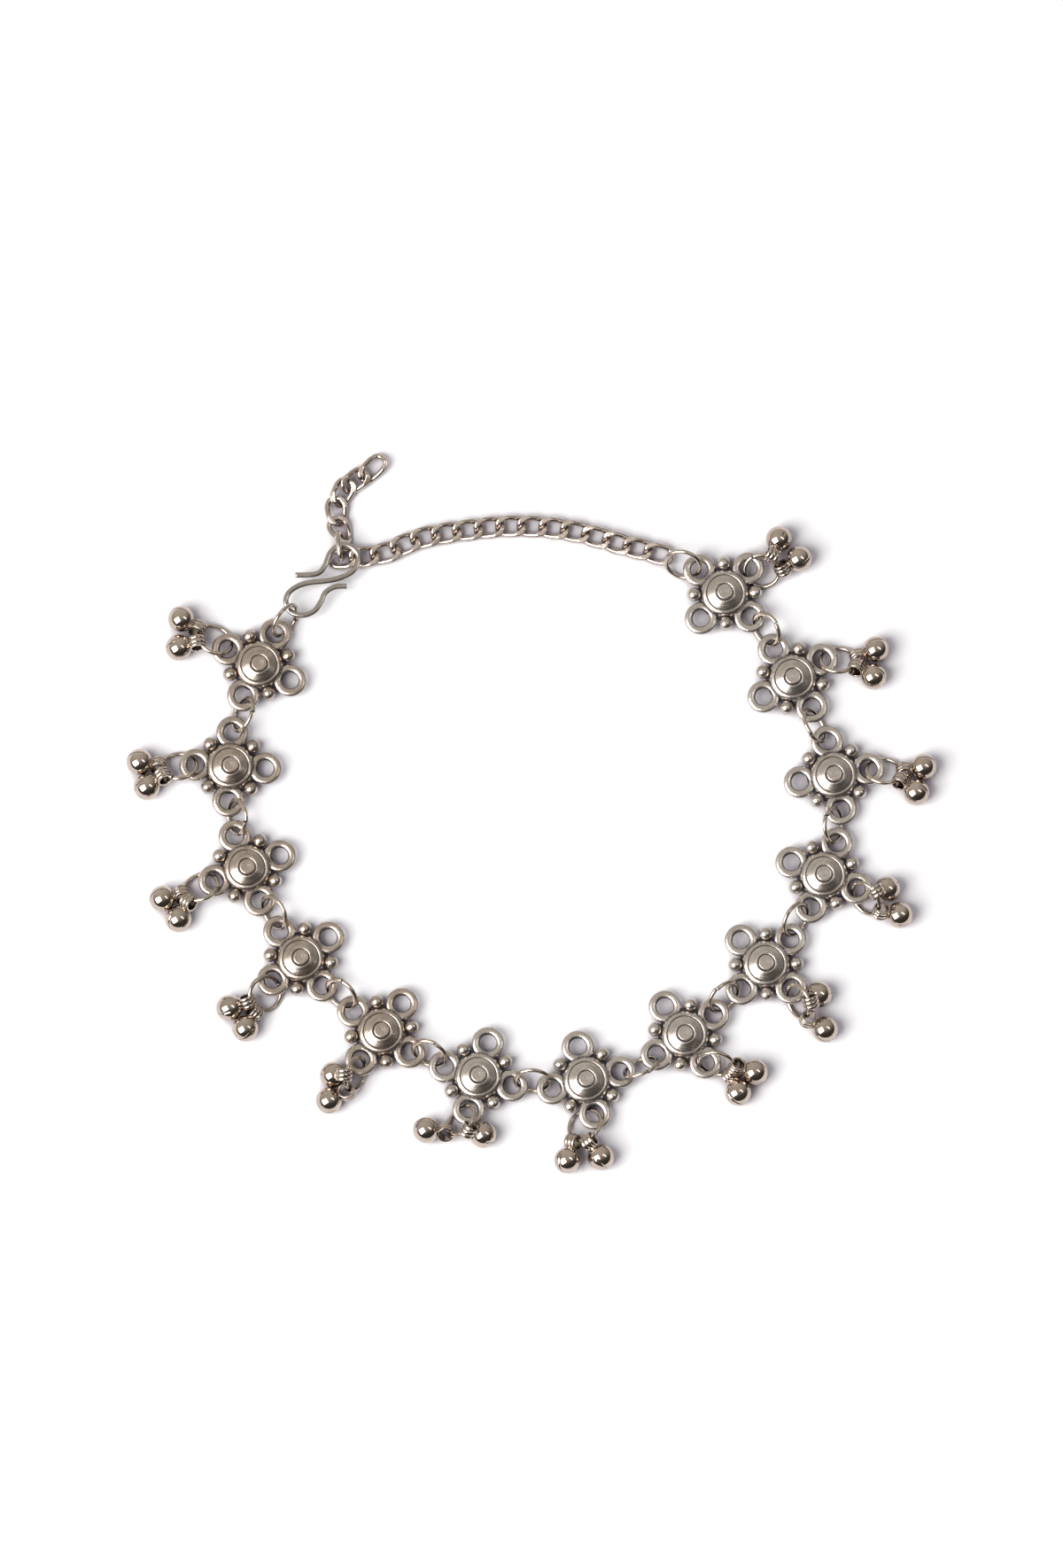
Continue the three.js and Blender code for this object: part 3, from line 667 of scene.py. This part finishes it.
def add_world():
    world = bpy.data.worlds.new("studio")
    bpy.context.scene.world = world
    world.use_nodes = True
    n = Nodes(world.node_tree)
    out = n.add("ShaderNodeOutputWorld")
    way = n.add("ShaderNodeTexCoord").outputs["Generated"]
    dot = n.add("ShaderNodeVectorMath", operation="DOT_PRODUCT")
    n.join(way, dot.inputs[0])
    dot.inputs[1].default_value = (-0.35, 0.75, 0.56)
    lean = n.spread(dot.outputs["Value"], -1, 1, 0, 1)
    seen = n.ramp(lean, [(0.0, (0.03, 0.027, 0.024)), (0.42, (0.08, 0.073, 0.066)),
                         (0.58, (0.25, 0.235, 0.215)), (0.75, (0.5, 0.48, 0.44)),
                         (1.0, (0.7, 0.67, 0.6))])
    mirror = n.add("ShaderNodeBackground")
    n.join(seen, mirror.inputs["Color"])
    soft = n.add("ShaderNodeBackground")
    soft.inputs["Color"].default_value = (0.29, 0.27, 0.305, 1)
    path = n.add("ShaderNodeLightPath")
    blend = n.add("ShaderNodeMixShader")
    n.join(path.outputs["Is Glossy Ray"], blend.inputs["Fac"])
    n.join(soft.outputs["Background"], blend.inputs[1])
    n.join(mirror.outputs["Background"], blend.inputs[2])
    plain = n.add("ShaderNodeBackground")
    plain.inputs["Color"].default_value = (0.85, 0.85, 0.86, 1)
    shown = n.add("ShaderNodeMixShader")
    n.join(path.outputs["Is Camera Ray"], shown.inputs["Fac"])
    n.join(blend.outputs["Shader"], shown.inputs[1])
    n.join(plain.outputs["Background"], shown.inputs[2])
    n.join(shown.outputs["Shader"], out.inputs["Surface"])


def add_table():
    mesh = bpy.data.meshes.new("table")
    half = 1.5
    mesh.from_pydata([(-half, -half, 0), (half, -half, 0), (half, half, 0), (-half, half, 0)], [], [(0, 1, 2, 3)])
    mesh.materials.append(table_material())
    table = bpy.data.objects.new("table", mesh)
    bpy.context.scene.collection.objects.link(table)


def numbered(name, index):
    return f"{name}_{index + 1:02d}"


def motif_places(first):
    places = []
    centre = first
    for index, row in enumerate(STRAND):
        if index:
            before = STRAND[index - 1]
            span = 2 * RING_RADIUS + before["play"]
            centre = (centre + EYE_REACH * flat(before["turn"] - 90) + span * flat(before["heading"])
                      - EYE_REACH * flat(row["turn"] + 90))
        places.append((centre, row["turn"]))
    return places


def end_ring(eye, row):
    centre = eye + (RING_RADIUS - row["slip"]) * flat(row["toward"])
    return ring_at(centre[0], centre[1], row["heading"], row["tilt"])


def link_ring_place(start, end, tilt):
    line = end - start
    degrees = math.degrees(math.atan2(line[1], line[0]))
    middle = (start + end) / 2 + math.copysign(LINK_SHIFT, tilt) * flat(degrees + 90)
    return ring_at(middle[0], middle[1], degrees, tilt, LINK_RADIUS)


def bail_clearance(place):
    axle = place["axle"]
    upright = math.sqrt(1 - axle[2] ** 2)
    return place["bail"][2] - BAIL_RADIUS * upright - BAIL_WIDTH / 2 * abs(axle[2])


def drop_places(eye, outward, drop):
    degrees = outward + drop["swing"]
    middle = eye + (RING_RADIUS - drop["slip"]) * flat(degrees)
    ring = ring_at(middle[0], middle[1], degrees, drop["tilt"])
    for _ in range(4):
        bells = [bell_place(ring, seat, outward + aim) for seat, aim in drop["seats"]]
        ring["centre"][2] += max(0.0, GAP - min(bail_clearance(bell) for bell in bells))
    return ring, [bell_place(ring, seat, outward + aim) for seat, aim in drop["seats"]]


def build_anklet():
    low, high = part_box("motif_01")
    middle = (low + high) / 2 / MM
    places = motif_places(np.array([middle.x, middle.y, 0.0]))
    brown = metal("brown_cast_metal", (0.59, 0.51, 0.45), (0.4, 0.337, 0.29), (0.045, 0.042, 0.048),
                  0.26, 2e-5, 2.2e-5, 0.5)
    grey = metal("grey_cast_metal", (0.62, 0.562, 0.52), (0.46, 0.41, 0.372), (0.05, 0.05, 0.06),
                 0.26, 2e-5, 2.2e-5, 0.5)
    wire = metal("ring_metal", (0.56, 0.49, 0.425), (0.4, 0.34, 0.285), (0.07, 0.065, 0.066),
                 0.2, 8e-6, 1e-5, 0.25)
    bell = metal("bell_metal", (0.55, 0.47, 0.41), (0.46, 0.39, 0.335), (0.09, 0.075, 0.068),
                 0.08, 5e-6, 5e-6, 0.15)
    chain = metal("chain_metal", (0.59, 0.51, 0.46), (0.43, 0.368, 0.33), (0.055, 0.046, 0.042),
                  0.18, 8e-6, 1e-5, 0.2)
    hook = metal("hook_metal", (0.51, 0.465, 0.43), (0.39, 0.355, 0.325), (0.08, 0.075, 0.075),
                 0.2, 1e-5, 2e-5, 0.2)
    for index, (centre, turn) in enumerate(places):
        cast = brown if index < BROWN_MOTIFS else grey
        motif_shell(centre, turn).build(numbered("cast_motif", index), cast, "cast_metal",
                                        [numbered("motif", index)])
    for index, row in enumerate(STRAND[:-1]):
        start = places[index][0] + EYE_REACH * flat(places[index][1] - 90)
        end = places[index + 1][0] + EYE_REACH * flat(places[index + 1][1] + 90)
        shell = Shell()
        jump_ring(shell, link_ring_place(start, end, row["tilt"]), row["cut"])
        shell.build(numbered("joining_ring", index), wire, "ring_metal", [numbered("link_ring", index)])
    for index, (centre, turn) in enumerate(places):
        eye = centre + EYE_REACH * flat(turn + 180)
        ring, bells = drop_places(eye, turn + 180, DROPS[index])
        node = numbered("drop", index)
        shell = Shell()
        jump_ring(shell, ring, DROPS[index]["cut"])
        shell.build(numbered("drop_ring", index), wire, "bell_metal", [node])
        for letter, place in zip("ab", bells):
            bell_shell(place).build(numbered("ghungroo", index) + letter, bell, "bell_metal", [node])
    hook_ring = end_ring(places[0][0] + EYE_REACH * flat(places[0][1] + 90), HOOK_RING)
    chain_ring = end_ring(places[12][0] + EYE_REACH * flat(places[12][1] - 90), CHAIN_RING)
    for name, ring in (("hook_ring", hook_ring), ("chain_ring", chain_ring)):
        shell = Shell()
        jump_ring(shell, ring, -60)
        shell.build("bent_" + name, wire, "ring_metal", [name])
    corner = hook_ring["centre"][:2] + HOOK_SEAT
    hooked = corner + HOOKED_SHARE * HOOK_SIZE
    run = run_chain_shell(corner + RUN_SHARE * HOOK_SIZE, chain_ring["centre"][:2])
    run.build("curb_chain", chain, "chain_metal", ["chain_main"])
    tail_shell(hooked, TAIL_LINKS, 0.31).build("curb_tail", chain, "chain_metal", ["chain_tail"])
    tail_shell(hooked, [HOOKED_LINK], 0.15).build("steep_link", chain, "chain_metal", ["hooked_link"])
    hook_shell(corner).build("s_hook", hook, "hook_metal", ["hook"])


build_anklet()
AIM = (0.0, 0.00453, 0.0)
add_camera(AIM)
add_table()
add_world()
add_light("key", (-0.72, -0.38, 0.9), AIM, (0.9, 1.06), 0, 22, (1.0, 0.985, 0.965))
add_light("strip", (0.36, 0.03, 0.6), AIM, (0.14, 0.4), -35, 0.4, (1.0, 1.0, 1.0))
bpy.context.scene.view_settings.view_transform = "Standard"
bpy.context.scene.view_settings.look = "None"
